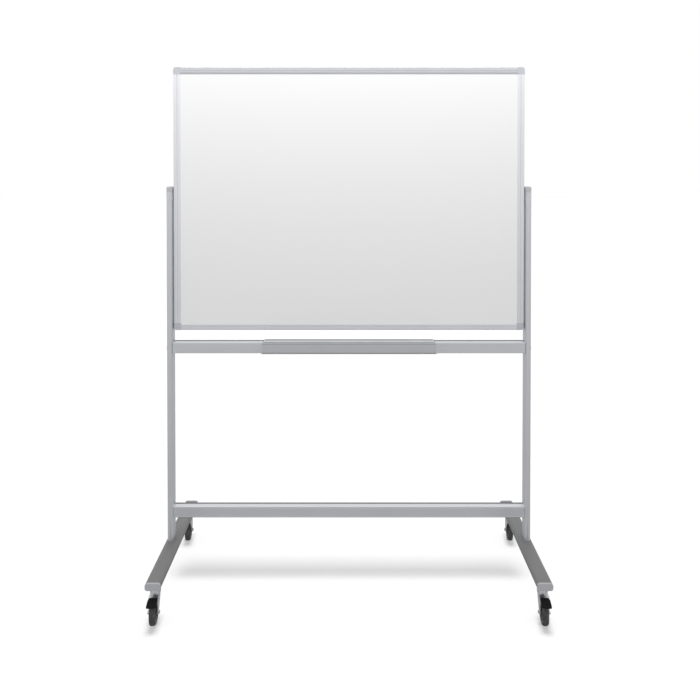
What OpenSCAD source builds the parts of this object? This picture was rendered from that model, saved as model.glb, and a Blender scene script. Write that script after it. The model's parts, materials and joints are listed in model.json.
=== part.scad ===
// Rolling double-sided whiteboard: a framed board that turns over between two posts,
// on a stand with two crossbars, a marker tray and four braked swivel casters.
// The front faces -Y, +Z is up, and the origin is on the floor under the middle of the stand.

/* [Board] */
// Width of the framed board
board_w = 1219; // [900:1:1500]
// Height of the framed board
board_h = 914; // [600:1:1000]
// Height of the board's lower edge above the floor
board_z = 875; // [862:1:1000]
// Depth of the aluminium rails, front to back
rail_t = 22; // [20:1:30]
// Width of a rail as seen from the front
rail_face = 24; // [20:1:30]
// Side of a corner piece
corner_size = 25; // [25:1:30]
// Radius of a corner piece's outer corner
corner_r = 10; // [4:1:11]

/* [Stand] */
// Gap between the board and each post
side_gap = 3; // [2.5:0.5:6]
// Width of a post, across the board
post_w = 20; // [20:1:24]
// Depth of a post, front to back
post_d = 50; // [50:1:60]
// Wall of the post tube
post_wall = 1.8; // [1.5:0.1:2]
// How far the post with its cap reaches above the pivot
post_above_pivot = 43; // [35:1:60]
// Height of a post cap
post_cap_h = 18; // [12:1:22]
// Length of a foot with its end caps
foot_l = 550; // [500:1:700]
// Width of a foot
foot_w = 49; // [45:1:55]
// Height of a foot
foot_h = 23; // [20:1:30]
// Wall of the foot tube
foot_wall = 1.8; // [1.5:0.1:2]
// Height of the top face of the upper crossbar
upper_bar_top = 833; // [800:1:834]
// Height of the upper crossbar
upper_bar_h = 37; // [30:1:40]
// Depth of the upper crossbar
upper_bar_d = 42; // [38:1:44]
// Height of the top face of the lower crossbar
lower_bar_top = 258; // [220:1:400]
// Height of the lower crossbar
lower_bar_h = 39; // [34:1:44]
// Depth of the lower crossbar
lower_bar_d = 32; // [28:1:36]

/* [Marker tray] */
// Length of the tray with its ends
tray_l = 600; // [400:1:900]
// Depth of the tray in front of the crossbar
tray_d = 36; // [30:1:45]
// How far the tray's front lip stands above the crossbar
tray_lip = 8; // [4:1:10]
// Distance of each tray screw from the middle
tray_screw_x = 252; // [100:1:280]

/* [Casters] */
// Diameter of a caster wheel
wheel_d = 75; // [70:1:76]
// Width of a caster wheel
wheel_w = 20; // [18:1:23]
// Height of a caster, from the floor to the underside of the foot
caster_h = 118; // [118:1:124]
// Distance from a swivel axis to the middle of the stand
caster_y = 220; // [200:1:240]
// Distance from the wheel axle to the swivel axis
caster_trail = 32; // [28:1:34]
// How far outside a foot's middle line its casters are fixed
caster_offset = 5; // [0:1:7]
// How far the casters are turned in at rest, in degrees
caster_turn = 5; // [0:1:10]

/* [Hidden] */
$fn = 48;

// Board
pivot_z = board_z + board_h / 2;
board_x = board_w / 2;
rail_wall = 1.5;
panel_edge = 12.3;
chamber_w = 12;
chamber_wall = 1.8;
panel_t = rail_t - 2 * rail_wall;
sheet_t = 0.6;
corner_t = rail_t + 1;
key_l = 34;

// Pivot
shaft_d = 12;
running_fit = 0.1;
bush_d = 18;
bush_flange_d = 26;
bush_flange_t = 1.2;

// Stand
post_x = board_x + side_gap + post_w / 2;
post_in = post_x - post_w / 2;
post_out = post_x + post_w / 2;
foot_out = post_out + 6;
foot_mid = foot_out - foot_w / 2;
foot_top = caster_h + foot_h;
foot_mid_z = caster_h + foot_h / 2;
caster_x = foot_mid + caster_offset;
foot_r = 8;
foot_cap_l = 8;
foot_bolt_d = 8;
foot_bolt_y = 12;
stud_d = 10;
post_tube_top = pivot_z + post_above_pivot - post_cap_h;
cap_plug_l = post_above_pivot - post_cap_h - bush_d / 2 - 1;
nose_y = (post_d - post_w) / 2;
bar_wall = 2;
upper_hollow_h = upper_bar_h - 3 - 2 * bar_wall;
upper_plug_z = upper_bar_top - upper_bar_h + bar_wall + upper_hollow_h / 2;
lower_mid_z = lower_bar_top - lower_bar_h / 2;
plug_l = 40;
bolt_l = 32;
bar_bolt_d = 6;
cover_d = 13;

// Clamp knob behind each post
screw_d = 6;
screw_tip_y = shaft_d / 2 + 0.1;
nut_neck_d = 10;
nut_end_y = post_d / 2 + 0.6;
knob_y = nut_end_y + 1.4;
knob_d = post_w + 2 * (side_gap - 1);
knob_h = 17;

// Marker tray
tray_wall = 2;
tray_back_y = -upper_bar_d / 2;
tray_bottom = upper_bar_top - upper_bar_h + 5;
tray_top = upper_bar_top + tray_lip;
tray_end_t = 3;
tray_screw_d = 4;
tray_screw_z = tray_bottom + 8;
tray_access_z = tray_bottom + 3;

// Casters
wheel_r = wheel_d / 2;
tyre_in_r = wheel_r - 9;
axle_d = 6;
fork_gap = wheel_w + 4;
arm_t = 3;
fork_w = fork_gap + 2 * arm_t;
hood_top = wheel_d + 13;
hood_t = 3;
dome_top = hood_top + 15;
dome_r = 17;
pin_d = 8;
pedal_pin_y = -34;
pedal_pin_z = wheel_d + 6;

// ---- Helpers: everything is drawn for the right-hand side or the front, then mirrored ----

module on_side(s) {
    if (s > 0) children();
    else mirror([1, 0, 0]) children();
}

module on_end(e) {
    if (e < 0) children();
    else mirror([0, 1, 0]) children();
}

module both_sides() {
    for (s = [-1, 1]) on_side(s) children();
}

module rounded_rect(w, h, r) {
    square([w - 2 * r, h], center = true);
    square([w, h - 2 * r], center = true);
    for (x = [-1, 1]) for (y = [-1, 1]) translate([x * (w / 2 - r), y * (h / 2 - r)]) circle(r);
}

module stadium(w, d) {
    square([w, d - w], center = true);
    for (y = [-1, 1]) translate([0, y * (d - w) / 2]) circle(d = w);
}

// Extrudes an outline drawn in (Y, Z) along X, about the middle
module along_x(l) {
    rotate([90, 0, 90]) linear_extrude(l, center = true) children();
}

// Extrudes an outline drawn in (X, Z) along Y, about the middle
module along_y(l) {
    rotate([90, 0, 0]) linear_extrude(l, center = true) children();
}

// A round bar along +X or +Y from a point
module bar_x(x, y, z, d, l) {
    translate([x, y, z]) rotate([0, 90, 0]) cylinder(d = d, h = l);
}

module bar_y(x, y, z, d, l) {
    translate([x, y, z]) rotate([-90, 0, 0]) cylinder(d = d, h = l);
}

// ---- Stand ----

// The crossbar bolts: distance from front to back, and height
bolt_places = [
    [-8, upper_plug_z], [8, upper_plug_z],
    [0, lower_mid_z - 9], [0, lower_mid_z + 9]
];

module post() {
    color("silver") difference() {
        translate([post_x, 0, foot_top]) linear_extrude(post_tube_top - foot_top) difference() {
            stadium(post_w, post_d);
            stadium(post_w - 2 * post_wall, post_d - 2 * post_wall);
        }
        bar_x(post_in - 1, 0, pivot_z, bush_d, post_wall + 2);
        bar_y(post_x, nose_y, pivot_z, nut_neck_d, post_w);
        for (b = bolt_places) {
            bar_x(post_in - 1, b[0], b[1], bar_bolt_d + 0.4, post_wall + 2);
            bar_x(post_out - post_wall - 1, b[0], b[1], cover_d, post_wall + 2);
        }
    }
}

module post_cap() {
    top_bevel = 3;
    color("gainsboro") translate([post_x, 0, post_tube_top]) {
        linear_extrude(post_cap_h - top_bevel) stadium(post_w, post_d);
        translate([0, 0, post_cap_h - top_bevel]) {
            for (y = [-1, 1]) translate([0, y * nose_y, 0])
                cylinder(d1 = post_w, d2 = post_w - 2 * top_bevel, h = top_bevel);
            rotate([90, 0, 0]) linear_extrude(2 * nose_y, center = true) polygon([
                [-post_w / 2, 0], [post_w / 2, 0],
                [post_w / 2 - top_bevel, top_bevel], [top_bevel - post_w / 2, top_bevel]
            ]);
        }
        translate([0, 0, -cap_plug_l]) linear_extrude(cap_plug_l)
            stadium(post_w - 2 * post_wall - 0.2, post_d - 2 * post_wall - 0.2);
    }
}

module foot() {
    color("dimgray") difference() {
        translate([foot_mid, 0, foot_mid_z]) along_y(foot_l - 2 * foot_cap_l) difference() {
            rounded_rect(foot_w, foot_h, foot_r);
            rounded_rect(foot_w - 2 * foot_wall, foot_h - 2 * foot_wall, foot_r - foot_wall);
        }
        for (y = [-1, 1]) {
            translate([post_x, y * foot_bolt_y, foot_top - foot_wall - 1])
                cylinder(d = foot_bolt_d + 0.4, h = foot_wall + 2);
            translate([post_x, y * foot_bolt_y, caster_h - 1]) cylinder(d = 16, h = foot_wall + 2);
            translate([caster_x, y * caster_y, caster_h - 1]) cylinder(d = stud_d + 0.4, h = foot_wall + 2);
        }
    }
}

module foot_caps() {
    inner_w = foot_w - 2 * foot_wall - 0.2;
    inner_h = foot_h - 2 * foot_wall - 0.2;
    inner_r = foot_r - foot_wall - 0.1;
    plug_l = 22;
    color("lightslategray") for (e = [-1, 1]) on_end(e) translate([foot_mid, -foot_l / 2, foot_mid_z]) {
        translate([0, foot_cap_l / 2, 0]) along_y(foot_cap_l) rounded_rect(foot_w, foot_h, foot_r);
        translate([0, foot_cap_l + plug_l / 2, 0]) along_y(plug_l) rounded_rect(inner_w, inner_h, inner_r);
    }
}

module upper_bar() {
    lip = 3;
    channel = 3;
    color("silver") difference() {
        translate([0, 0, upper_bar_top - upper_bar_h / 2]) along_x(2 * post_in) difference() {
            rounded_rect(upper_bar_d, upper_bar_h, 1.5);
            translate([-upper_bar_d / 2 + lip, upper_bar_h / 2 - channel]) square([upper_bar_d - 2 * lip, 5]);
            translate([0, (upper_hollow_h - upper_bar_h) / 2 + bar_wall])
                square([upper_bar_d - 2 * bar_wall, upper_hollow_h], center = true);
            for (s = [-1, 1]) for (k = [0 : 3]) translate([s * upper_bar_d / 2, 8.5 - 6 * k])
                square([1.4, 1.6], center = true);
        }
        for (s = [-1, 1]) bar_y(s * tray_screw_x, tray_back_y - 1, tray_screw_z, tray_screw_d, bar_wall + 2);
    }
}

module lower_bar() {
    color("silver") translate([0, 0, lower_mid_z]) along_x(2 * post_in) difference() {
        rounded_rect(lower_bar_d, lower_bar_h, 2.5);
        square([lower_bar_d - 2 * bar_wall, lower_bar_h - 2 * bar_wall], center = true);
        for (s = [-1, 1]) for (z = [-1, 1]) translate([s * lower_bar_d / 2, z * (lower_bar_h / 2 - 6)])
            square([1.4, 1.6], center = true);
    }
}

// Blocks that join the crossbars to the posts, and the posts to the feet
module joint_plugs() {
    color("dimgray") both_sides() {
        difference() {
            translate([post_in - plug_l / 2, 0, 0]) along_x(plug_l) {
                translate([0, upper_plug_z])
                    square([upper_bar_d - 2 * bar_wall - 0.2, upper_hollow_h - 0.2], center = true);
                translate([0, lower_mid_z])
                    square([lower_bar_d, lower_bar_h] - [1, 1] * (2 * bar_wall + 0.2), center = true);
            }
            for (b = bolt_places) bar_x(post_in - bolt_l, b[0], b[1], bar_bolt_d, bolt_l + 1);
        }
        difference() {
            translate([post_x, 0, foot_top]) linear_extrude(plug_l + 5)
                stadium(post_w - 2 * post_wall - 0.2, post_d - 2 * post_wall - 0.2);
            for (y = [-1, 1]) translate([post_x, y * foot_bolt_y, foot_top - 1])
                cylinder(d = foot_bolt_d, h = bolt_l + 1);
        }
    }
}

module frame_bolts() {
    color("darkgray") both_sides() {
        for (b = bolt_places) {
            bar_x(post_in - bolt_l, b[0], b[1], bar_bolt_d, bolt_l + post_wall + 1);
            bar_x(post_in + post_wall, b[0], b[1], 10, 5);
        }
        for (y = [-1, 1]) translate([post_x, y * foot_bolt_y, foot_top - foot_wall]) {
            translate([0, 0, -1]) cylinder(d = foot_bolt_d, h = bolt_l + foot_wall + 1);
            translate([0, 0, -6]) cylinder(d = 13, h = 6);
        }
    }
}

module bolt_covers() {
    color("lightgray") both_sides() for (b = bolt_places) {
        bar_x(post_out - post_wall, b[0], b[1], cover_d, post_wall + 0.5);
        bar_x(post_out, b[0], b[1], cover_d + 3, 1.2);
    }
}

module stem_nuts() {
    color("darkgray") both_sides() for (y = [-1, 1])
        translate([caster_x, y * caster_y, caster_h + foot_wall]) difference() {
            cylinder(d = 19.6, h = 8, $fn = 6);
            translate([0, 0, -1]) cylinder(d = stud_d, h = 10);
        }
}

// ---- Marker tray, clipped over the upper crossbar ----

tray_front_y = tray_back_y - tray_d;
tray_bend_r = 8;

// The tray's section, grown inwards by a wall to cut its trough
module tray_bowl(wall) {
    bend_y = tray_front_y + tray_bend_r;
    bend_z = tray_bottom + tray_bend_r;
    translate([tray_front_y + wall, bend_z]) square([tray_d - 2 * wall, upper_bar_top - bend_z + tray_wall]);
    translate([bend_y, tray_bottom + wall]) square([tray_back_y - wall - bend_y, tray_bend_r]);
    translate([bend_y, bend_z]) circle(tray_bend_r - wall);
}

module tray_front_lip() {
    translate([tray_front_y, tray_bottom + tray_bend_r])
        square([tray_wall, tray_top - tray_bottom - tray_bend_r - 1.5]);
    translate([tray_front_y + 1.5, tray_top - 1.5]) circle(1.5);
}

module marker_tray() {
    color("silver") difference() {
        along_x(tray_l - 2 * tray_end_t) {
            difference() {
                tray_bowl(0);
                tray_bowl(tray_wall);
                translate([tray_front_y + tray_wall, tray_bottom + tray_bend_r])
                    square([tray_d - 2 * tray_wall, upper_bar_h]);
            }
            tray_front_lip();
            translate([tray_back_y - tray_wall, upper_bar_top])
                square([upper_bar_d + tray_wall - 1, tray_wall]);
        }
        for (s = [-1, 1]) {
            bar_y(s * tray_screw_x, tray_front_y - 1, tray_access_z, 7, tray_wall + 2);
            bar_y(s * tray_screw_x, tray_back_y - tray_wall - 1, tray_screw_z, tray_screw_d, tray_wall + 2);
        }
    }
}

module tray_ends() {
    color("lightgray") both_sides() translate([(tray_l - tray_end_t) / 2, 0, 0]) along_x(tray_end_t) {
        tray_bowl(0);
        tray_front_lip();
        polygon([
            [tray_front_y + 1.5, tray_top], [tray_front_y + 1.5, upper_bar_top],
            [tray_back_y, upper_bar_top], [tray_back_y, upper_bar_top + tray_wall]
        ]);
    }
}

module tray_screws() {
    color("black") both_sides() {
        bar_y(tray_screw_x, tray_back_y - tray_wall - 2.5, tray_screw_z, 6, 2.5);
        bar_y(tray_screw_x, tray_back_y - tray_wall - 1, tray_screw_z, tray_screw_d, 9);
    }
}

// ---- Pivot and clamp ----

module pivot_bushes() {
    color("white") both_sides() difference() {
        union() {
            bar_x(post_in, 0, pivot_z, bush_d, post_w - post_wall);
            bar_x(post_in - bush_flange_t, 0, pivot_z, bush_flange_d, bush_flange_t);
        }
        bar_x(post_in - 5, 0, pivot_z, shaft_d + running_fit, post_w + 5);
        bar_y(post_x, 0, pivot_z, screw_d + 2, bush_d);
    }
}

module clamp_nuts() {
    color("goldenrod") both_sides() difference() {
        union() {
            bar_y(post_x, bush_d / 2 + 0.6, pivot_z, 14, nose_y + 2 - bush_d / 2 - 0.6);
            bar_y(post_x, nose_y, pivot_z, nut_neck_d, nut_end_y - nose_y);
        }
        bar_y(post_x, 0, pivot_z, screw_d + running_fit, post_d);
    }
}

module clamp_screw() {
    color("gray") bar_y(post_x, screw_tip_y, pivot_z, screw_d, knob_y + 12 - screw_tip_y);
}

module clamp_knob() {
    collar_h = 5;
    lobe_d = 8;
    color("dimgray") translate([post_x, knob_y, pivot_z]) rotate([-90, 0, 0]) difference() {
        union() {
            cylinder(d = 15, h = collar_h);
            translate([0, 0, collar_h]) linear_extrude(knob_h - collar_h) {
                circle(d = knob_d - lobe_d + 2);
                for (a = [0 : 60 : 300]) rotate(a) translate([(knob_d - lobe_d) / 2, 0]) circle(d = lobe_d);
            }
        }
        translate([0, 0, -1]) cylinder(d = screw_d + running_fit, h = 13.2);
    }
}

module pivot_shaft() {
    block_w = chamber_w - 2 * chamber_wall - 0.2;
    block_d = rail_t - 2 * chamber_wall - 0.2;
    block_h = 60;
    shaft_x = board_x - chamber_w / 2;
    shaft_end = post_out - post_wall - 0.6;
    color("gray") {
        translate([board_x - chamber_wall - 0.1 - block_w, -block_d / 2, pivot_z - block_h / 2])
            cube([block_w, block_d, block_h]);
        bar_x(shaft_x, 0, pivot_z, shaft_d, shaft_end - shaft_x);
    }
}

// ---- Board ----

// A rail's section: x runs inwards from the board's edge, y runs from front to back
module rail_section() {
    r = 2;
    difference() {
        union() {
            translate([r, -rail_t / 2]) square([chamber_w - r, rail_t]);
            translate([0, r - rail_t / 2]) square([chamber_w, rail_t - 2 * r]);
            for (m = [0, 1]) mirror([0, m]) {
                translate([r, rail_t / 2 - r]) circle(r);
                polygon([
                    [chamber_w - 1, panel_t / 2], [rail_face, panel_t / 2],
                    [rail_face, panel_t / 2 + 0.4], [rail_face - 3, rail_t / 2], [chamber_w - 1, rail_t / 2]
                ]);
            }
        }
        translate([chamber_wall, chamber_wall - rail_t / 2])
            square([chamber_w - 2 * chamber_wall, rail_t - 2 * chamber_wall]);
        for (s = [-1, 1]) translate([13, s * rail_t / 2]) square([2.4, 1.2], center = true);
    }
}

module rail_across(top) {
    color("gainsboro") translate([0, 0, top ? board_z + board_h : board_z])
        along_x(board_w - 2 * corner_size) rotate(top ? -90 : 90) rail_section();
}

module rail_upright() {
    color("gainsboro") difference() {
        translate([board_x, 0, board_z + corner_size]) mirror([1, 0, 0])
            linear_extrude(board_h - 2 * corner_size) rail_section();
        bar_x(board_x - chamber_wall - 0.5, 0, pivot_z, shaft_d + 0.2, chamber_wall + 2);
    }
}

// One corner piece, for the top right; the bottom ones are turned over about the pivot
module corner_piece() {
    key_w = chamber_w - 2 * chamber_wall - 0.2;
    key_t = rail_t - 2 * chamber_wall - 0.2;
    key_in = chamber_wall + 0.1;
    reach = corner_size + key_l;
    color("lightsteelblue") translate([board_x, 0, board_z + board_h]) {
        difference() {
            along_y(corner_t) {
                translate([-corner_size, -corner_size]) square([corner_size, corner_size - corner_r]);
                translate([-corner_size, -corner_size]) square([corner_size - corner_r, corner_size]);
                translate([-corner_r, -corner_r]) circle(corner_r);
            }
            translate([-corner_size - 1, -panel_t / 2, -corner_size - 1])
                cube([corner_size + 1 - panel_edge, panel_t, corner_size + 1 - panel_edge]);
        }
        translate([-key_in - key_w, -key_t / 2, -reach]) cube([key_w, key_t, key_l + 1]);
        translate([-reach, -key_t / 2, -key_in - key_w]) cube([key_l + 1, key_t, key_w]);
    }
}

module corner(s, top) {
    translate([0, 0, pivot_z]) mirror([0, 0, top ? 0 : 1]) translate([0, 0, -pivot_z])
        on_side(s) corner_piece();
}

module panel_layer(y, t) {
    translate([-board_x + panel_edge, y, board_z + panel_edge])
        cube([board_w - 2 * panel_edge, t, board_h - 2 * panel_edge]);
}

module sheet_front() {
    color("white") panel_layer(-panel_t / 2, sheet_t);
}

module sheet_rear() {
    color("white") panel_layer(panel_t / 2 - sheet_t, sheet_t);
}

module board_core() {
    color("tan") panel_layer(-panel_t / 2 + sheet_t, panel_t - 2 * sheet_t);
}

// ---- Casters: drawn for the front, with the swivel axis at the origin ----

module caster(s, e) {
    on_side(s) translate([caster_x, e * caster_y, 0]) rotate(-caster_turn) on_end(e) children();
}

// Fixed stem: stud, hexagon, bearing race and king pin with its riveted head
module stem() {
    hex_h = 7;
    race_z = dome_top + 0.3;
    color("silver") {
        translate([0, 0, caster_h]) cylinder(d = stud_d, h = foot_wall + 12);
        translate([0, 0, caster_h - hex_h]) cylinder(d = 19.6, h = hex_h, $fn = 6);
        translate([0, 0, race_z]) cylinder(d1 = 30, d2 = 25, h = caster_h - hex_h - race_z);
        translate([0, 0, dome_top - 5]) cylinder(d = pin_d, h = 6);
        translate([0, 0, dome_top - hood_t - 4.3]) cylinder(d = 14, h = 4);
    }
}

module fork_arm() {
    linear_extrude(arm_t) difference() {
        union() {
            polygon([
                [9, hood_top], [-42, hood_top], [-42, hood_top - 10],
                [-caster_trail - 8, wheel_r], [-caster_trail + 8, wheel_r], [5, hood_top - 10]
            ]);
            translate([-caster_trail, wheel_r]) circle(8);
        }
        translate([-caster_trail, wheel_r]) circle(d = axle_d);
        translate([pedal_pin_y, pedal_pin_z]) circle(d = 4.1);
    }
}

module fork() {
    hood_front = -40;
    color("lightgray") {
        rotate_extrude() polygon([
            [dome_r, hood_top - hood_t], [dome_r, hood_top + 5], [dome_r - 2.5, dome_top - 3],
            [dome_r - 6, dome_top], [(pin_d + running_fit) / 2, dome_top],
            [(pin_d + running_fit) / 2, dome_top - hood_t], [dome_r - 7, dome_top - hood_t],
            [dome_r - 5, dome_top - 5], [dome_r - 3, hood_top + 4], [dome_r - 3, hood_top - hood_t]
        ]);
        difference() {
            translate([-fork_w / 2, hood_front, hood_top - hood_t]) cube([fork_w, -hood_front, hood_t]);
            translate([0, 0, hood_top - hood_t - 1]) cylinder(r = dome_r - 3, h = hood_t + 2);
        }
        for (s = [-1, 1]) translate([s * (fork_w - arm_t) / 2 - arm_t / 2, 0, 0])
            rotate([90, 0, 90]) fork_arm();
    }
}

module axle() {
    head_t = 4;
    color("silver") {
        bar_x(-fork_w / 2 - 1, -caster_trail, wheel_r, axle_d, fork_w + 2);
        bar_x(fork_w / 2, -caster_trail, wheel_r, 11, head_t);
        translate([-fork_w / 2 - head_t, -caster_trail, wheel_r]) rotate([0, 90, 0])
            cylinder(d = 11, h = head_t, $fn = 6);
    }
}

// Draws a wheel section (radius, distance from the middle) round the axle
module round_axle() {
    translate([0, -caster_trail, wheel_r]) rotate([0, 90, 0]) rotate_extrude($fn = 96) children();
}

module hub() {
    bore_r = (axle_d + running_fit) / 2;
    boss = fork_gap / 2 - 0.3;
    rim = wheel_w / 2 - 1;
    color("dimgray") round_axle() polygon([
        [bore_r, -boss], [8, -boss], [8.5, -3], [tyre_in_r - 6, -3], [tyre_in_r - 3.5, -rim],
        [tyre_in_r, -rim], [tyre_in_r, rim], [tyre_in_r - 3.5, rim], [tyre_in_r - 6, 3],
        [8.5, 3], [8, boss], [bore_r, boss]
    ]);
}

module tyre() {
    r = 5;
    rim = wheel_w / 2 - 1;
    color("dimgray") round_axle() polygon(concat(
        [[tyre_in_r, rim], [tyre_in_r, -rim]],
        [for (a = [0 : 15 : 90]) [wheel_r - r + r * sin(a), -wheel_w / 2 + r - r * cos(a)]],
        [for (a = [90 : -15 : 0]) [wheel_r - r + r * sin(a), wheel_w / 2 - r + r * cos(a)]]
    ));
}

// Brake pedal, drawn pressed down: a neck on its pin under the hood, a ridged plate over the
// wheel, and under it the shoe, just clear of the tyre
module pedal() {
    back_y = -30.8;
    tip_y = -80;
    neck = fork_gap / 2 - 0.4;
    blade = neck + 3.6;
    ridges = [for (k = [0 : 4]) for (p = [[0, 0], [-1.2, 0.9], [-2.4, 0]])
        [-54 - 5 * k + p[0], hood_top - 1.2 - 0.8 * k + p[1]]];
    color("black") {
        intersection() {
            along_x(40) polygon(concat(
                [[back_y, pedal_pin_z - 2.4], [back_y, pedal_pin_z + 1.6], [-41.5, pedal_pin_z + 1.5]],
                [[-43.5, hood_top - 3.5], [-44.5, hood_top - 0.5], [-46, hood_top]],
                ridges,
                [[tip_y + 2, hood_top - 4.6], [tip_y, hood_top - 6], [tip_y, hood_top - 9.5]],
                [[-56, hood_top - 7], [-47, hood_top - 9], [-46, hood_top - 12.4], [-40, hood_top - 11.6]]
            ));
            translate([0, 0, hood_top - 20]) linear_extrude(30) polygon([
                [-neck, back_y + 1], [-neck, -44], [-blade, -50], [-blade, tip_y + 3],
                [-blade + 3, tip_y - 1], [blade - 3, tip_y - 1], [blade, tip_y + 3], [blade, -50],
                [neck, -44], [neck, back_y + 1]
            ]);
        }
        bar_x(-fork_w / 2 + 0.2, pedal_pin_y, pedal_pin_z, 4, fork_w - 0.4);
    }
}

on_side(-1) post();  // post_left
on_side(1) post();  // post_right
on_side(-1) post_cap();  // post_cap_left
on_side(1) post_cap();  // post_cap_right
on_side(-1) foot();  // foot_left
on_side(1) foot();  // foot_right
on_side(-1) foot_caps();  // foot_caps_left
on_side(1) foot_caps();  // foot_caps_right
upper_bar();
lower_bar();
joint_plugs();
frame_bolts();
bolt_covers();
stem_nuts();
marker_tray();
tray_ends();
tray_screws();
pivot_bushes();
clamp_nuts();
on_side(-1) clamp_screw();  // clamp_screw_left
on_side(1) clamp_screw();  // clamp_screw_right
on_side(-1) clamp_knob();  // clamp_knob_left
on_side(1) clamp_knob();  // clamp_knob_right
rail_across(true);  // rail_top
rail_across(false);  // rail_bottom
on_side(-1) rail_upright();  // rail_left
on_side(1) rail_upright();  // rail_right
corner(-1, true);  // corner_top_left
corner(1, true);  // corner_top_right
corner(-1, false);  // corner_bottom_left
corner(1, false);  // corner_bottom_right
sheet_front();
sheet_rear();
board_core();
on_side(-1) pivot_shaft();  // pivot_shaft_left
on_side(1) pivot_shaft();  // pivot_shaft_right
caster(-1, -1) stem();  // stem_front_left
caster(1, -1) stem();  // stem_front_right
caster(-1, 1) stem();  // stem_rear_left
caster(1, 1) stem();  // stem_rear_right
caster(-1, -1) fork();  // fork_front_left
caster(1, -1) fork();  // fork_front_right
caster(-1, 1) fork();  // fork_rear_left
caster(1, 1) fork();  // fork_rear_right
caster(-1, -1) axle();  // axle_front_left
caster(1, -1) axle();  // axle_front_right
caster(-1, 1) axle();  // axle_rear_left
caster(1, 1) axle();  // axle_rear_right
caster(-1, -1) hub();  // hub_front_left
caster(1, -1) hub();  // hub_front_right
caster(-1, 1) hub();  // hub_rear_left
caster(1, 1) hub();  // hub_rear_right
caster(-1, -1) tyre();  // tyre_front_left
caster(1, -1) tyre();  // tyre_front_right
caster(-1, 1) tyre();  // tyre_rear_left
caster(1, 1) tyre();  // tyre_rear_right
caster(-1, -1) pedal();  // pedal_front_left
caster(1, -1) pedal();  // pedal_front_right
caster(-1, 1) pedal();  // pedal_rear_left
caster(1, 1) pedal();  // pedal_rear_right
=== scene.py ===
"""Looks of the rolling whiteboard: procedural materials and eased, detailed pieces on the CAD frame."""

import json
import math

import bmesh
import bpy
from mathutils import Matrix, Vector

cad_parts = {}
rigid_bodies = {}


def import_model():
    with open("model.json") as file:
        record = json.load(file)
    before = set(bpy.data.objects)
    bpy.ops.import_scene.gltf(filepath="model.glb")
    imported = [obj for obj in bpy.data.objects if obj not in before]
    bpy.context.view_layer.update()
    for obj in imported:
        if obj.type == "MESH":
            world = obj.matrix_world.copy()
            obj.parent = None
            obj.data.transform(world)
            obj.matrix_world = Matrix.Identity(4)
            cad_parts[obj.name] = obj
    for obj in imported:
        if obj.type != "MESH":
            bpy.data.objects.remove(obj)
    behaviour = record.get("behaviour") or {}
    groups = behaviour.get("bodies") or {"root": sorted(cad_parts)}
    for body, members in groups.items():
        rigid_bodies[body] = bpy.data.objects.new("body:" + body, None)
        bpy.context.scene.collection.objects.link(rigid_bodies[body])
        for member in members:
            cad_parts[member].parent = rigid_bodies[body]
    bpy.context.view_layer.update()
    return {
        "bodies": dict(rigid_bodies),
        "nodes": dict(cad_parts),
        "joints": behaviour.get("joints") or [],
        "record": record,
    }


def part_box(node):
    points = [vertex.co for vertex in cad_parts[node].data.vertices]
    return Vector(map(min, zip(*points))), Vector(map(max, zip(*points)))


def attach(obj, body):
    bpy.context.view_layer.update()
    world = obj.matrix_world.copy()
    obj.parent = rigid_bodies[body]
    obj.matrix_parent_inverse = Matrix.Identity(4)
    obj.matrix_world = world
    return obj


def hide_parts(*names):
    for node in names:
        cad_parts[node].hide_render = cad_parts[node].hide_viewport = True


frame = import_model()

NODES = frame["nodes"]
BODY_OF = {node: body for body, nodes in frame["record"]["behaviour"]["bodies"].items() for node in nodes}
SLOT_OF = {part["node"]: part["material_slot"] for part in frame["record"]["subparts"]}
JOINTS = {joint["name"]: joint for joint in frame["joints"]}
SIDES = ("left", "right")
CORNERS = [end + "_" + side for end in ("front", "rear") for side in SIDES]


# ---------------------------------------------------------------- materials

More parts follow.
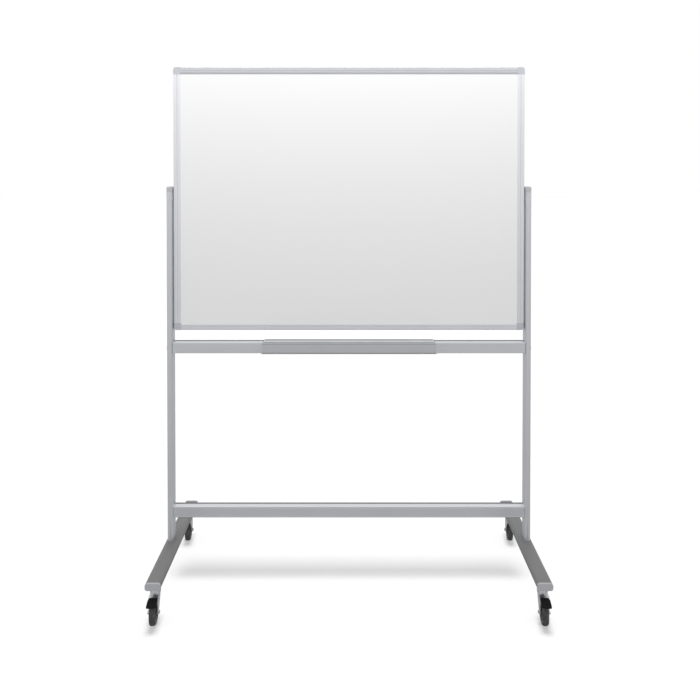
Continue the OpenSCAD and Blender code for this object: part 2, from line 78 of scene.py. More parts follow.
class Shader:
    """A principled material with a few helpers that add procedural detail in object space, in metres."""

    def __init__(self, name, color, metallic=0.0, roughness=0.5, **sockets):
        self.material = bpy.data.materials.new(name)
        self.material.use_nodes = True
        self.tree = self.material.node_tree
        self.bsdf = self.tree.nodes["Principled BSDF"]
        self.base = color
        self.set("Base Color", (*color, 1.0))
        self.set("Metallic", metallic)
        self.set("Roughness", roughness)
        for socket, value in sockets.items():
            self.set(socket.replace("_", " "), value)
        self.height = None
        self.coord = self.tree.nodes.new("ShaderNodeTexCoord").outputs["Object"]

    def set(self, socket, value):
        self.bsdf.inputs[socket].default_value = value

    def link(self, a, b):
        self.tree.links.new(a, b)

    def mapped(self, scale):
        """Object coordinates times a scale for each axis."""
        node = self.tree.nodes.new("ShaderNodeMapping")
        node.inputs["Scale"].default_value = scale
        self.link(self.coord, node.inputs["Vector"])
        return node.outputs["Vector"]

    def noise(self, scale, detail=3.0, rough=0.55, distortion=0.0):
        """Noise with features about 1/scale metres across on each axis."""
        scale = scale if isinstance(scale, tuple) else (scale,) * 3
        node = self.tree.nodes.new("ShaderNodeTexNoise")
        node.inputs["Scale"].default_value = 1.0
        node.inputs["Detail"].default_value = detail
        node.inputs["Roughness"].default_value = rough
        node.inputs["Distortion"].default_value = distortion
        self.link(self.mapped(scale), node.inputs["Vector"])
        return node.outputs["Fac"]

    def cells(self, scale, feature="F1"):
        """Distance to the nearest of scattered points, for mottling, nicks and orange peel."""
        scale = scale if isinstance(scale, tuple) else (scale,) * 3
        node = self.tree.nodes.new("ShaderNodeTexVoronoi")
        node.feature = feature
        node.inputs["Scale"].default_value = 1.0
        self.link(self.mapped(scale), node.inputs["Vector"])
        return node.outputs["Distance"]

    def remap(self, value, lo, hi, out_lo=0.0, out_hi=1.0):
        """Value from lo..hi to out_lo..out_hi, clamped."""
        node = self.tree.nodes.new("ShaderNodeMapRange")
        for socket, number in zip(("From Min", "From Max", "To Min", "To Max"), (lo, hi, out_lo, out_hi)):
            node.inputs[socket].default_value = number
        self.link(value, node.inputs["Value"])
        return node.outputs["Result"]

    def math(self, operation, a, b):
        """One math node on two terms, each a number or another node's output."""
        node = self.tree.nodes.new("ShaderNodeMath")
        node.operation = operation
        for socket, term in zip(node.inputs, (a, b)):
            if isinstance(term, (int, float)):
                socket.default_value = term
            else:
                self.link(term, socket)
        return node.outputs[0]

    def tint(self, fac, color):
        """Mixes the colour so far with another one where fac is 1."""
        node = self.tree.nodes.new("ShaderNodeMix")
        node.data_type = "RGBA"
        self.link(fac, node.inputs["Factor"])
        socket = self.bsdf.inputs["Base Color"]
        if socket.links:
            self.link(socket.links[0].from_socket, node.inputs["A"])
        else:
            node.inputs["A"].default_value = socket.default_value
        node.inputs["B"].default_value = (*color, 1.0)
        self.link(node.outputs["Result"], socket)

    def roughen(self, value):
        """Adds a value, usually a remapped noise around zero, to the roughness."""
        socket = self.bsdf.inputs["Roughness"]
        start = socket.links[0].from_socket if socket.links else socket.default_value
        self.link(self.math("ADD", value, start), socket)

    def raise_by(self, value, metres):
        """Adds value times a height in metres to the bump."""
        height = self.math("MULTIPLY", value, metres)
        self.height = self.math("ADD", self.height, height) if self.height is not None else height

    def done(self):
        """Wires the collected bump in and returns the material."""
        if self.height is not None:
            node = self.tree.nodes.new("ShaderNodeBump")
            node.inputs["Strength"].default_value = 1.0
            node.inputs["Distance"].default_value = 1.0
            self.link(self.height, node.inputs["Height"])
            self.link(node.outputs["Normal"], self.bsdf.inputs["Normal"])
        return self.material

    def height_above_floor(self):
        node = self.tree.nodes.new("ShaderNodeSeparateXYZ")
        self.link(self.coord, node.inputs["Vector"])
        return node.outputs["Z"]


def shade(color, factor):
    return tuple(min(1.0, channel * factor) for channel in color)


def anodised(name, color, roughness, along):
    """Satin anodised extrusion: fine drawn lines along its length, faint handling marks."""
    across = tuple(3.0 if axis == along else 2600.0 for axis in range(3))
    broad = tuple(0.8 if axis == along else 160.0 for axis in range(3))
    s = Shader(name, color, metallic=0.85, roughness=roughness)
    lines = s.noise(across, detail=2.0)
    bands = s.noise(broad, detail=3.0)
    smears = s.noise(14.0, detail=5.0, distortion=0.6)
    s.tint(s.remap(lines, 0.35, 0.75, 0.0, 0.35), shade(color, 0.86))
    s.tint(s.remap(bands, 0.45, 0.7, 0.0, 0.3), shade(color, 1.1))
    s.tint(s.remap(smears, 0.58, 0.78, 0.0, 0.22), shade(color, 0.82))
    s.roughen(s.remap(lines, 0.3, 0.7, -0.05, 0.05))
    s.roughen(s.remap(smears, 0.4, 0.75, -0.02, 0.09))
    s.raise_by(lines, 0.000012)
    nicks = s.cells(tuple(14.0 if axis == along else 90.0 for axis in range(3)))
    s.raise_by(s.remap(nicks, 0.0, 0.05, -1.0, 0.0), 0.00003)
    return s.done()


def moulded(name, color, roughness=0.5, grain=1500.0, gloss=0.45, dust=None):
    """Moulded plastic: a fine spark-eroded grain, faint flow marks, and dust near the floor."""
    s = Shader(name, color, roughness=roughness, Specular_IOR_Level=gloss)
    grains = s.noise(grain, detail=2.0)
    flow = s.noise(45.0, detail=4.0, distortion=1.2)
    s.tint(s.remap(grains, 0.4, 0.75, 0.0, 0.25), shade(color, 0.85))
    s.tint(s.remap(flow, 0.5, 0.75, 0.0, 0.3), shade(color, 1.12))
    s.roughen(s.remap(flow, 0.3, 0.7, -0.06, 0.08))
    s.raise_by(grains, 0.00003)
    if dust is not None:
        settle_dust(s, dust)
    return s.done()


def settle_dust(s, color):
    """Patchy floor dust and scuffs that thin out upwards, over the lowest 14 cm."""
    low = s.remap(s.height_above_floor(), 0.0, 0.14, 0.55, 0.0)
    patches = s.remap(s.noise(120.0, detail=6.0), 0.42, 0.7, 0.0, 1.0)
    amount = s.math("MULTIPLY", low, patches)
    s.tint(amount, color)
    s.roughen(s.math("MULTIPLY", amount, 0.3))


def powder_coated(name, color):
    """Grey powder coat: orange peel, fine speckle, a few rubbed patches."""
    s = Shader(name, color, metallic=0.0, roughness=0.42, Specular_IOR_Level=0.5)
    peel = s.cells(900.0, "SMOOTH_F1")
    speckle = s.noise(2400.0, detail=1.0)
    rubs = s.noise((60.0, 9.0, 60.0), detail=5.0, distortion=0.8)
    s.tint(s.remap(speckle, 0.45, 0.7, 0.0, 0.3), shade(color, 1.3))
    s.tint(s.remap(rubs, 0.55, 0.75, 0.0, 0.35), shade(color, 1.18))
    s.roughen(s.remap(rubs, 0.4, 0.7, 0.06, -0.1))
    s.raise_by(peel, 0.00006)
    s.raise_by(speckle, 0.000015)
    return s.done()


def enamel(name):
    """Glossy dry-wipe enamel on steel: faint wiping arcs, ghosted ink, and the sheet's slight waviness."""
    color = (0.74, 0.74, 0.742)
    s = Shader(name, color, roughness=0.2, Coat_Weight=0.35, Coat_Roughness=0.08, Specular_IOR_Level=0.55)
    wipes = s.noise((5.0, 5.0, 11.0), detail=5.0, rough=0.5, distortion=1.2)
    ghosts = s.noise((9.0, 9.0, 22.0), detail=3.0, distortion=1.6)
    haze = s.noise(1.3, detail=2.0)
    s.tint(s.remap(ghosts, 0.55, 0.85, 0.0, 0.05), shade(color, 0.93))
    s.tint(s.remap(haze, 0.35, 0.75, 0.0, 0.4), shade(color, 0.985))
    s.roughen(s.remap(wipes, 0.35, 0.7, -0.02, 0.04))
    s.raise_by(s.noise(2.2, detail=1.0), 0.0003)
    s.raise_by(s.noise(700.0, detail=2.0), 0.000001)
    return s.done()


def plated(name, color, roughness=0.28):
    """Bright zinc plate: crystalline mottling and fine turning marks."""
    s = Shader(name, color, metallic=1.0, roughness=roughness)
    mottle = s.cells(340.0)
    marks = s.noise((120.0, 120.0, 5200.0), detail=2.0)
    stains = s.noise(80.0, detail=5.0)
    s.tint(s.remap(mottle, 0.2, 0.9, 0.0, 0.45), shade(color, 0.72))
    s.tint(s.remap(stains, 0.58, 0.8, 0.0, 0.35), (0.45, 0.43, 0.38))
    s.roughen(s.remap(mottle, 0.1, 0.8, -0.08, 0.12))
    s.raise_by(marks, 0.000012)
    return s.done()


def turned_brass(name):
    """Turned brass with fine rings and brown tarnish."""
    color = (0.62, 0.45, 0.2)
    s = Shader(name, color, metallic=1.0, roughness=0.3)
    rings = s.noise((300.0, 6000.0, 300.0), detail=1.0)
    s.tint(s.remap(s.noise(200.0, detail=4.0), 0.5, 0.75, 0.0, 0.4), (0.38, 0.26, 0.12))
    s.roughen(s.remap(rings, 0.3, 0.7, -0.05, 0.1))
    s.raise_by(rings, 0.00001)
    return s.done()


def pressed_core(name):
    """The board's inner core, seen only if the frame is taken off: pressed fibre."""
    color = (0.42, 0.31, 0.19)
    s = Shader(name, color, roughness=0.85)
    fibres = s.noise((260.0, 900.0, 260.0), detail=6.0)
    s.tint(s.remap(fibres, 0.35, 0.7, 0.0, 0.7), shade(color, 0.6))
    s.raise_by(fibres, 0.0002)
    return s.done()


def tyre_tread(name):
    """Dark grey tyre: scuffed, dusty tread and a smoother sidewall."""
    color = (0.05, 0.05, 0.052)
    s = Shader(name, color, roughness=0.66, Specular_IOR_Level=0.25)
    scuffs = s.noise((240.0, 60.0, 60.0), detail=6.0, distortion=0.5)
    s.tint(s.remap(scuffs, 0.45, 0.72, 0.0, 0.55), (0.16, 0.16, 0.16))
    s.roughen(s.remap(scuffs, 0.35, 0.7, -0.1, 0.15))
    s.raise_by(s.noise(1100.0, detail=3.0), 0.00005)
    s.raise_by(scuffs, 0.00008)
    return s.done()


ALONG_X, ALONG_Z = 0, 2
BAR_SILVER = (0.71, 0.722, 0.75)
RAIL_SILVER = (0.76, 0.77, 0.80)
DUST = (0.34, 0.33, 0.31)


def make_materials():
    """One material for each slot of the record; extrusions differ by the way they run, trims by tone. The
    top rail and the tray are darker copies of their aluminium: painted shade.
    """
    return {
        "post": anodised("anodised_post", BAR_SILVER, 0.38, ALONG_Z),
        "bar": anodised("anodised_bar", BAR_SILVER, 0.38, ALONG_X),
        # Painted shade: the top rail is the rail's silver darkened to 0.72.
        "rail_top": anodised("anodised_rail_top_painted_shade", shade(RAIL_SILVER, 0.72), 0.34, ALONG_X),
        "rail_bottom": anodised("anodised_rail_bottom", RAIL_SILVER, 0.34, ALONG_X),
        "rail_upright": anodised("anodised_rail_upright", RAIL_SILVER, 0.34, ALONG_Z),
        # Painted shade: the tray is the bar's silver darkened to 0.86, for the board's shade above it.
        "tray_aluminium": anodised("anodised_tray_painted_shade", shade(BAR_SILVER, 0.86), 0.42, ALONG_X),
        "light_plastic": moulded("light_plastic", (0.62, 0.625, 0.65)),
        "corner_plastic": moulded("corner_plastic", (0.43, 0.445, 0.475)),
        "grey_plastic": moulded("grey_plastic", (0.44, 0.444, 0.47), dust=DUST),
        "foot_steel": powder_coated("foot_steel", (0.165, 0.165, 0.167)),
        "zinc": plated("zinc", (0.68, 0.69, 0.71), roughness=0.22),
        "brass": turned_brass("brass"),
        "bush_plastic": moulded("bush_plastic", (0.7, 0.69, 0.66), roughness=0.4),
        "black_screw": plated("black_screw", (0.03, 0.03, 0.032), roughness=0.4),
        "knob_plastic": moulded("knob_plastic", (0.025, 0.025, 0.028), roughness=0.42),
        "enamel": enamel("enamel"),
        "core_board": pressed_core("core_board"),
        "hub_plastic": moulded("hub_plastic", (0.07, 0.07, 0.073), roughness=0.48, dust=DUST),
        "tyre_rubber": tyre_tread("tyre_rubber"),
        "pedal_plastic": moulded("pedal_plastic", (0.010, 0.010, 0.0105), roughness=0.55, gloss=0.08),
        # Painted shade: dark grey for the strips along the crossbars' tops.
        "seal": moulded("seal", (0.2, 0.203, 0.215), roughness=0.6, gloss=0.2),
        # Painted shade: mid grey for the lines in the rails' grooves and under the tray's lip.
        "inlay": moulded("inlay", (0.36, 0.365, 0.385), roughness=0.6, gloss=0.2),
        # Painted shade: light grey for the shadow lines along the rails' edges at the sheet and in the
        # uprights' grooves.
        "lip": moulded("lip", (0.56, 0.565, 0.59), roughness=0.6, gloss=0.2),
    }


MATERIALS = make_materials()


def material_for(node):
    """A CAD node's material: its slot's own, or the extrusion's that runs its way."""
    if node.startswith("post_") and "cap" not in node:
        return MATERIALS["post"]
    if node in ("upper_bar", "lower_bar"):
        return MATERIALS["bar"]
    if node in ("rail_top", "rail_bottom"):
        return MATERIALS[node]
    if node in ("rail_left", "rail_right"):
        return MATERIALS["rail_upright"]
    return MATERIALS[SLOT_OF[node]]


def dress(obj, material):
    obj.data.materials.clear()
    obj.data.materials.append(material)


for node_name, node_object in NODES.items():
    dress(node_object, material_for(node_name))


# ---------------------------------------------------------------- piece helpers

SMOOTH_BELOW_DEG = 35.0
SHARP_ABOVE_DEG = 40.0
WELD_DISTANCE = 2e-6
FLAT_WITHIN_DEG = 0.4
LARGEST_FACES_ONLY = 100


def new_piece(name, mesh, body, material, smooth_below=SMOOTH_BELOW_DEG):
    """A visible piece that rides a CAD body and wears the material it is given."""
    obj = bpy.data.objects.new(name, mesh)
    bpy.context.scene.collection.objects.link(obj)
    dress(obj, material)
    shade_by_angle(mesh, smooth_below)
    weighted = obj.modifiers.new("flat_faces_stay_flat", "WEIGHTED_NORMAL")
    weighted.keep_sharp = True
    weighted.weight = LARGEST_FACES_ONLY
    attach(obj, body)
    return obj


def shade_by_angle(mesh, degrees):
    """Smooth shading, with edges sharper than the angle kept hard."""
    mesh.polygons.foreach_set("use_smooth", [True] * len(mesh.polygons))
    bm = bmesh.new()
    bm.from_mesh(mesh)
    limit = math.radians(degrees)
    for edge in bm.edges:
        edge.smooth = len(edge.link_faces) == 2 and edge.calc_face_angle(0.0) < limit
    bm.to_mesh(mesh)
    bm.free()


def cleaned_mesh(node):
    """The CAD node's mesh as a bmesh: welded, with its flat faces whole again."""
    bm = bmesh.new()
    bm.from_mesh(NODES[node].data)
    bmesh.ops.remove_doubles(bm, verts=bm.verts, dist=WELD_DISTANCE)
    bmesh.ops.dissolve_limit(bm, angle_limit=math.radians(FLAT_WITHIN_DEG), verts=bm.verts, edges=bm.edges)
    bmesh.ops.dissolve_degenerate(bm, dist=1e-6, edges=bm.edges)
    return bm


def eased(node, width, segments):
    """Stands for a CAD node with the same shape, its sharp edges rounded over by width metres."""
    bm = cleaned_mesh(node)
    limit = math.radians(SHARP_ABOVE_DEG)
    edges = [e for e in bm.edges if len(e.link_faces) == 2 and e.calc_face_angle(0.0) > limit]
    bmesh.ops.bevel(bm, geom=edges, offset=width, offset_type="OFFSET", segments=segments, profile=0.5,
                    affect="EDGES", clamp_overlap=True, harden_normals=False)
    mesh = bpy.data.meshes.new(node + "_eased")
    bm.to_mesh(mesh)
    bm.free()
    piece = new_piece(node + "_eased", mesh, BODY_OF[node], material_for(node))
    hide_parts(node)


# ---------------------------------------------------------------- camera, light and floor

CAMERA_AT = Vector((0.0, -2.4412, 1.4386))
CAMERA_PITCH_DOWN = math.radians(0.84)
SENSOR_MM = 36.0
LENS_MM = 35.998
VIEW_SHIFT = (0.00151429, -0.24501429)


def add_camera():
    """The picture's view: the whole stand from a little below the board's top, framed downwards by shift."""
    data = bpy.data.cameras.new("camera")
    data.sensor_width = SENSOR_MM
    data.lens = LENS_MM
    data.shift_x, data.shift_y = VIEW_SHIFT
    data.clip_end = 100.0
    camera = bpy.data.objects.new("camera", data)
    camera.location = CAMERA_AT
    camera.rotation_euler = (math.pi / 2 - CAMERA_PITCH_DOWN, 0.0, 0.0)
    bpy.context.scene.collection.objects.link(camera)
    bpy.context.scene.camera = camera


def add_area_light(name, at, toward, size, power):
    """A rectangular lamp at one point, aimed at another."""
    data = bpy.data.lights.new(name, "AREA")
    data.shape = "RECTANGLE"
    data.size, data.size_y = size
    data.energy = power
    light = bpy.data.objects.new(name, data)
    light.location = at
    light.rotation_euler = (Vector(toward) - Vector(at)).to_track_quat("-Z", "Y").to_euler()
    bpy.context.scene.collection.objects.link(light)
    return light


def add_world():
    """A plain studio: dim towards the floor, bright above the horizon, white wherever the camera looks."""
    world = bpy.data.worlds.new("studio")
    world.use_nodes = True
    nodes, links = world.node_tree.nodes, world.node_tree.links
    coord = nodes.new("ShaderNodeTexCoord")
    split = nodes.new("ShaderNodeSeparateXYZ")
    links.new(coord.outputs["Generated"], split.inputs["Vector"])
    height = nodes.new("ShaderNodeMapRange")
    height.inputs["From Min"].default_value = -1.0
    links.new(split.outputs["Z"], height.inputs["Value"])
    room = nodes.new("ShaderNodeValToRGB")
    steps = room.color_ramp.elements
    while len(steps) < len(ROOM_BRIGHTNESS):
        steps.new(1.0)
    for step, (sine, level) in zip(steps, ROOM_BRIGHTNESS):
        step.position = (sine + 1.0) / 2.0
        step.color = (level, level, level, 1.0)
    links.new(height.outputs["Result"], room.inputs["Fac"])
    path = nodes.new("ShaderNodeLightPath")
    seen = nodes.new("ShaderNodeMix")
    seen.data_type = "RGBA"
    seen.inputs["B"].default_value = (1.0, 1.0, 1.0, 1.0)
    links.new(path.outputs["Is Camera Ray"], seen.inputs["Factor"])
    links.new(room.outputs["Color"], seen.inputs["A"])
    links.new(seen.outputs["Result"], nodes["Background"].inputs["Color"])
    nodes["Background"].inputs["Strength"].default_value = 1.0
    bpy.context.scene.world = world


def add_floor_light(name, floor, blockers, tilt, spread, strength):
    """Light from above for the floor alone, blocked only by pieces named in the tuple of first words."""
    data = bpy.data.lights.new(name, "SUN")
    data.energy = strength
    data.angle = math.radians(spread)
    light = bpy.data.objects.new(name, data)
    light.rotation_euler = (math.radians(tilt), 0.0, 0.0)
    bpy.context.scene.collection.objects.link(light)
    receives = bpy.data.collections.new(name + "_receives")
    receives.objects.link(floor)
    blocks = bpy.data.collections.new(name + "_blocks")
    for obj in bpy.data.objects:
        if obj.type == "MESH" and obj.name.startswith(blockers):
            blocks.objects.link(obj)
    light.light_linking.receiver_collection = receives
    light.light_linking.blocker_collection = blocks


def light_only(light, body):
    """Keeps a lamp on one body, as flags on either side of it would."""
    lit = bpy.data.collections.new(light.name + "_lit")
    for obj in bpy.data.objects:
        if obj.type == "MESH" and obj.parent == frame["bodies"][body]:
            lit.objects.link(obj)
    light.light_linking.receiver_collection = lit


FLOOR_GREY = (0.173, 0.173, 0.173)
FLOOR_HALF = 30.0


def add_floor():
    """A plain matt floor that takes shadows but neither lights nor mirrors in the object."""
    half = FLOOR_HALF
    mesh = bpy.data.meshes.new("floor")
    corners = [(-half, -half, 0.0), (half, -half, 0.0), (half, half, 0.0), (-half, half, 0.0)]
    mesh.from_pydata(corners, [], [(0, 1, 2, 3)])
    floor = bpy.data.objects.new("floor", mesh)
    bpy.context.scene.collection.objects.link(floor)
    s = Shader("floor", FLOOR_GREY, roughness=0.8, Specular_IOR_Level=0.1)
    s.raise_by(s.noise(400.0, detail=2.0), 0.00002)
    dress(floor, s.done())
    floor.visible_diffuse = False
    floor.visible_glossy = False
    return floor


# Brightness of the room by the sine of the height angle, from straight down to straight up.
ROOM_BRIGHTNESS = [(-1.0, 0.4), (-0.35, 0.46), (-0.15, 0.62), (0.0, 0.85), (0.15, 1.2),
                   (0.3, 1.12), (0.42, 0.68), (0.55, 0.95), (1.0, 1.07)]
STRIP_AT = (0.0, -0.8, 2.45)
STRIP_AIM = (0.0, 0.0, 1.5)
STRIP_SIZE = (3.6, 0.25)
STRIP_POWER = 20.0
CASTER_PARTS = ("fork", "tyre", "hub", "pedal", "axle")
BAND_PARTS = ("rail", "sheet", "board", "upper")

add_camera()
add_world()
floor = add_floor()
strip = add_area_light("strip", STRIP_AT, STRIP_AIM, STRIP_SIZE, STRIP_POWER)

scene = bpy.context.scene
scene.view_settings.view_transform = "Standard"
scene.view_settings.look = "None"


# ---------------------------------------------------------------- pieces

def swept(profile, start, end, up):
    """A bmesh of a closed outline, (across, up) in metres, swept from start to end, capped at both ends."""
    start, end, up = Vector(start), Vector(end), Vector(up)
    across = up.cross((end - start).normalized())
    bm = bmesh.new()
    rings = [[bm.verts.new(at + across * a + up * b) for a, b in profile] for at in (start, end)]
    count = len(profile)
    for k in range(count):
        bm.faces.new((rings[0][k], rings[0][(k + 1) % count], rings[1][(k + 1) % count], rings[1][k]))
    bm.faces.new(reversed(rings[0]))
    bm.faces.new(rings[1])
    bmesh.ops.recalc_face_normals(bm, faces=bm.faces)
    return bm


def lathed(rings, place, segments, closed=True):
    """A bmesh turned from (radius, along) pairs; place maps the axis, +Z, to where the piece is.
    A radius may be a function of the angle."""
    bm = bmesh.new()
    loops = []
    for radius, along in rings:
        loop = []
        for k in range(segments):
            angle = 2 * math.pi * k / segments
            r = radius(angle) if callable(radius) else radius
            loop.append(bm.verts.new(place @ Vector((r * math.cos(angle), r * math.sin(angle), along))))
        loops.append(loop)
    pairs = list(zip(loops, loops[1:] + loops[:1] if closed else loops[1:]))
    for a, b in pairs:
        for k in range(segments):
            bm.faces.new((a[k], a[(k + 1) % segments], b[(k + 1) % segments], b[k]))
    if not closed:
        bm.faces.new(reversed(loops[0]))
        bm.faces.new(loops[-1])
    bmesh.ops.recalc_face_normals(bm, faces=bm.faces)
    return bm


def joined(name, parts, body, material, smooth_below=SMOOTH_BELOW_DEG):
    """One piece made of several bmeshes."""
    whole = bmesh.new()
    for part in parts:
        mesh = bpy.data.meshes.new("part")
        part.to_mesh(mesh)
        part.free()
        whole.from_mesh(mesh)
        bpy.data.meshes.remove(mesh)
    mesh = bpy.data.meshes.new(name)
    whole.to_mesh(mesh)
    whole.free()
    return new_piece(name, mesh, body, material, smooth_below)


# How far the sharp edges of each kind of piece are rounded, in metres, and in how many steps.
EASES = {
    "post_cap": (0.0012, 3), "post": (0.0004, 2), "foot_caps": (0.0009, 3), "foot": (0.0004, 2),
    "upper_bar": (0.0004, 2), "lower_bar": (0.0004, 2), "tray_ends": (0.0006, 2), "bolt_covers": (0.0005, 3),
    "clamp_knob": (0.0012, 3), "corner": (0.0009, 3), "rail": (0.0003, 2), "pedal": (0.0006, 2),
    "fork": (0.0005, 2), "marker_tray": (0.0003, 2), "hub": (0.0005, 2),
}


def ease_all():
    """Rounds over the sharp edges of every visible moulded, pressed or extruded piece."""
    for node in NODES:
        kinds = [kind for kind in EASES if node.startswith(kind)]
        if kinds:
            eased(node, *EASES[max(kinds, key=len)])


def flat_strip(width, thick):
    """A strip's outline with rounded long edges and a shallow rib down its middle."""
    w, t = width / 2, thick
    return [(-w, 0), (w, 0), (w, 0.6 * t), (0.8 * w, t), (0.25 * w, t), (0.15 * w, 0.8 * t),
            (-0.15 * w, 0.8 * t), (-0.25 * w, t), (-0.8 * w, t), (-w, 0.6 * t)]


GROOVE_INSET = 0.0145
GROOVE_SUNK = 0.0006
LIP_SHADE_INSET = 0.0236
UPRIGHT_SHIFT = 0.0015
SHADE_LINE_SIZE = (0.003, 0.0003)
LIP_SHADE_SIZE = (0.0012, 0.0009)


def add_rail_painted_shade():
    """Grey strips in the groove of each rail and along the rail's edge where it meets the sheet: painted
    shade in the grooves and a painted shadow line at the sheet.
    """
    lo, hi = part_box("rail_top")[:2]
    left, right = lo.x, hi.x
    top, bottom = hi.z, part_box("rail_bottom")[0].z
    side_lo, side_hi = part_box("rail_right")[:2]
    outer, face_y = side_hi.x, -lo.y
    low, high = side_lo.z, side_hi.z
    sheet_y = -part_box("sheet_front")[0].y
    # Painted shade: grey strips in the grooves, and painted shadow lines where the rails meet the sheet.
    groove_shades, lip_and_upright_shades = [], []
    for front in (-1, 1):
        out = (0, front, 0)
        for runs, inset, y, strip in ((groove_shades, GROOVE_INSET, face_y - GROOVE_SUNK, flat_strip(*SHADE_LINE_SIZE)),
                                      (lip_and_upright_shades, LIP_SHADE_INSET, sheet_y, flat_strip(*LIP_SHADE_SIZE))):
            y *= front
            runs += [swept(strip, (left, y, z), (right, y, z), out) for z in (top - inset, bottom + inset)]
            for side in (-1, 1):
                x = side * (outer - inset + UPRIGHT_SHIFT)
                lip_and_upright_shades.append(swept(strip, (x, y, low), (x, y, high), out))
    joined("groove_inlays", groove_shades, "board", MATERIALS["inlay"])
    joined("lip_seals", lip_and_upright_shades, "board", MATERIALS["lip"])


STRIP_END_GAP = 0.001
TRAY_GAP = 0.003
CHANNEL_DEPTH = 0.003
HOOK_PLATE = 0.002


def top_strip(width, thick, left, right, y, z):
    """A strip lying along a crossbar, from left to right."""
    return swept(flat_strip(width, thick), (left, y, z), (right, y, z), (0, 0, 1))


def add_bar_shade_strips():
    """Dark grey strips along the rear of both crossbars' tops and across the tray's hook plate, painted
    shade, and inserts in the upper one's channel.
    """
    lo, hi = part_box("lower_bar")[:2]
    # Painted shade: dark strips on the rear of the bar tops.
    strips = [top_strip(0.009, 0.0005, lo.x + STRIP_END_GAP, hi.x - STRIP_END_GAP, hi.y - 0.0065, hi.z)]
    lo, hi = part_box("upper_bar")[:2]
    in_channel, on_tray = hi.z - CHANNEL_DEPTH, hi.z + HOOK_PLATE
    tray_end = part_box("marker_tray")[1].x
    beside_tray = ((lo.x + STRIP_END_GAP, -tray_end - TRAY_GAP), (tray_end + TRAY_GAP, hi.x - STRIP_END_GAP))
    strips += [top_strip(0.005, 0.0022, a, b, hi.y - 0.006, in_channel) for a, b in beside_tray]
    strips.append(top_strip(0.012, 0.0005, STRIP_END_GAP - tray_end, tray_end - STRIP_END_GAP,
                            hi.y - 0.008, on_tray))
    joined("bar_strips", strips, "stand", MATERIALS["seal"])
    inserts = [top_strip(0.026, 0.0027, a, b, -0.005, in_channel) for a, b in beside_tray]
    joined("bar_inserts", inserts, "stand", MATERIALS["bar"])


def add_tray_lip_shade():
    """A grey line along the front wall of the marker tray, just under its lip: painted shade."""
    lo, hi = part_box("marker_tray")[:2]
    z = hi.z - 0.0035
    # Painted shade under the tray's lip.
    line = swept(flat_strip(*SHADE_LINE_SIZE), (lo.x, lo.y, z), (hi.x, lo.y, z), (0, -1, 0))
    joined("tray_line", [line], "stand", MATERIALS["inlay"])


def wheel_place(corner):
    """Maps +Z to the axle of a caster's wheel, with the origin at the wheel's centre."""
    joint = JOINTS["wheel_roll_" + corner]
    turn = Vector((0, 0, 1)).rotation_difference(Vector(joint["axis"]))
    return Matrix.Translation(Vector(joint["pos_m"])) @ turn.to_matrix().to_4x4()


TYRE_HALF_SECTION = [
    (0.0285, 0.0089), (0.0296, 0.0095), (0.0305, 0.0095), (0.0309, 0.0099), (0.0321, 0.0099),
    (0.0325, 0.0095), (0.0337, 0.0093), (0.0352, 0.0083), (0.0364, 0.0066), (0.0371, 0.0046),
    (0.0374, 0.0026), (0.0375, 0.0006), (0.03735, 0.0003),
]
TYRE_SMOOTH_BELOW_DEG = 50.0


def add_tyre(corner):
    """A tyre with a rounded tread, a fine parting line and a raised ring on each sidewall."""
    rings = TYRE_HALF_SECTION + [(r, -z) for r, z in reversed(TYRE_HALF_SECTION)]
    piece = joined("tyre_%s_shaped" % corner, [lathed(rings, wheel_place(corner), 128)],
                   "wheel_" + corner, MATERIALS["tyre_rubber"], TYRE_SMOOTH_BELOW_DEG)
    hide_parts("tyre_" + corner)


SPOKES = 5
SPOKE_FROM, SPOKE_TO = 0.0082, 0.0232
WEB_HALF = 0.003
SPOKE_SECTION = [(-0.0016, 0), (0.0016, 0), (0.0011, 0.0052), (0.0005, 0.0057), (-0.0005, 0.0057),
                 (-0.0011, 0.0052)]
RING_SECTION = [(0.0145, 0.0028), (0.0163, 0.0028), (0.0161, 0.0046), (0.0156, 0.0050), (0.0151, 0.0050),
                (0.0147, 0.0046)]


def add_hub_details(corner):
    """Spokes and a ring on both faces of the hub."""
    place = wheel_place(corner)
    parts = []
    for face in (-1, 1):
        for k in range(SPOKES):
            turned = place @ Matrix.Rotation(2 * math.pi * k / SPOKES, 4, "Z")
            ends = [(radius, 0, face * WEB_HALF) for radius in (SPOKE_FROM, SPOKE_TO)]
            spoke = swept(SPOKE_SECTION, *ends, (0, 0, face))
            bmesh.ops.transform(spoke, matrix=turned, verts=spoke.verts)
            parts.append(spoke)
        parts.append(lathed([(r, face * z) for r, z in RING_SECTION], place, 64))
    joined("hub_%s_ribs" % corner, parts, "wheel_" + corner, MATERIALS["hub_plastic"])


def hexagon(across_flats):
    """Radius, by angle, of a hexagonal socket."""
    return lambda angle: across_flats / 2 / math.cos((angle % (math.pi / 3)) - math.pi / 6)


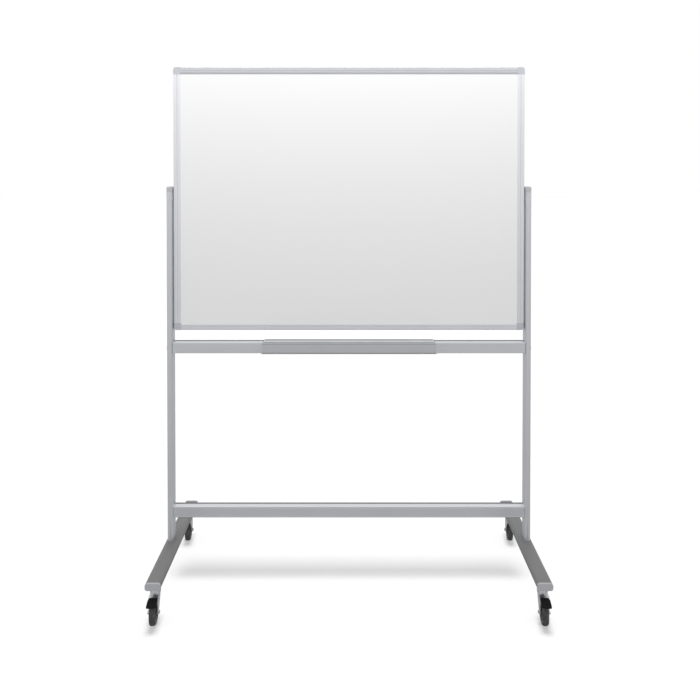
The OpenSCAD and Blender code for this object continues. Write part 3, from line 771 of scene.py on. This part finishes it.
HEAD_RINGS = [(0.0029, 0.0), (0.00295, 0.0009), (0.0027, 0.0017), (0.0022, 0.0022),
              (hexagon(0.0026), 0.0024), (hexagon(0.0025), 0.0010), (0.0004, 0.0009)]
SHANK_RINGS = [(0.0019, -0.0065), (0.0019, 0.0)]
HEAD_HEIGHT = 0.0025


def add_tray_screw_heads():
    """Domed heads with a hexagonal socket on the two screws of the marker tray."""
    lo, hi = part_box("tray_screws")[:2]
    mid_z = (lo.z + hi.z) / 2
    x = hi.x - (hi.z - lo.z) / 2
    parts = []
    for side in (-1, 1):
        at = (side * x, lo.y + HEAD_HEIGHT, mid_z)
        place = Matrix.Translation(at) @ Matrix.Rotation(math.pi / 2, 4, "X")
        parts.append(lathed(HEAD_RINGS, place, 48, closed=False))
        parts.append(lathed(SHANK_RINGS, place, 24, closed=False))
    piece = joined("tray_screws_shaped", parts, "stand", MATERIALS["black_screw"])
    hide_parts("tray_screws")


CAP_RINGS = [(0.0062, -0.0008), (0.0062, 0.0002), (0.0058, 0.0006), (0.0048, 0.0006), (0.0045, 0.0003),
             (0.0030, 0.0003), (0.0026, 0.0007), (0.0004, 0.0008)]


def add_knob_caps():
    """A ringed cap pressed into the end of each clamp knob."""
    for side in SIDES:
        lo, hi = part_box("clamp_knob_" + side)[:2]
        at = ((lo.x + hi.x) / 2, hi.y, (lo.z + hi.z) / 2)
        place = Matrix.Translation(at) @ Matrix.Rotation(-math.pi / 2, 4, "X")
        joined("knob_cap_" + side, [lathed(CAP_RINGS, place, 48, closed=False)], "clamp_knob_body_" + side,
               MATERIALS["knob_plastic"])


ease_all()
add_rail_painted_shade()
add_bar_shade_strips()
add_tray_lip_shade()
add_tray_screw_heads()
add_knob_caps()
for corner in CORNERS:
    add_tyre(corner)
    add_hub_details(corner)

light_only(strip, "board")
add_floor_light("band_light", floor, BAND_PARTS, tilt=2.1, spread=5.4, strength=8.0)
add_floor_light("wheel_light", floor, CASTER_PARTS, tilt=-4.0, spread=20.0, strength=7.4)
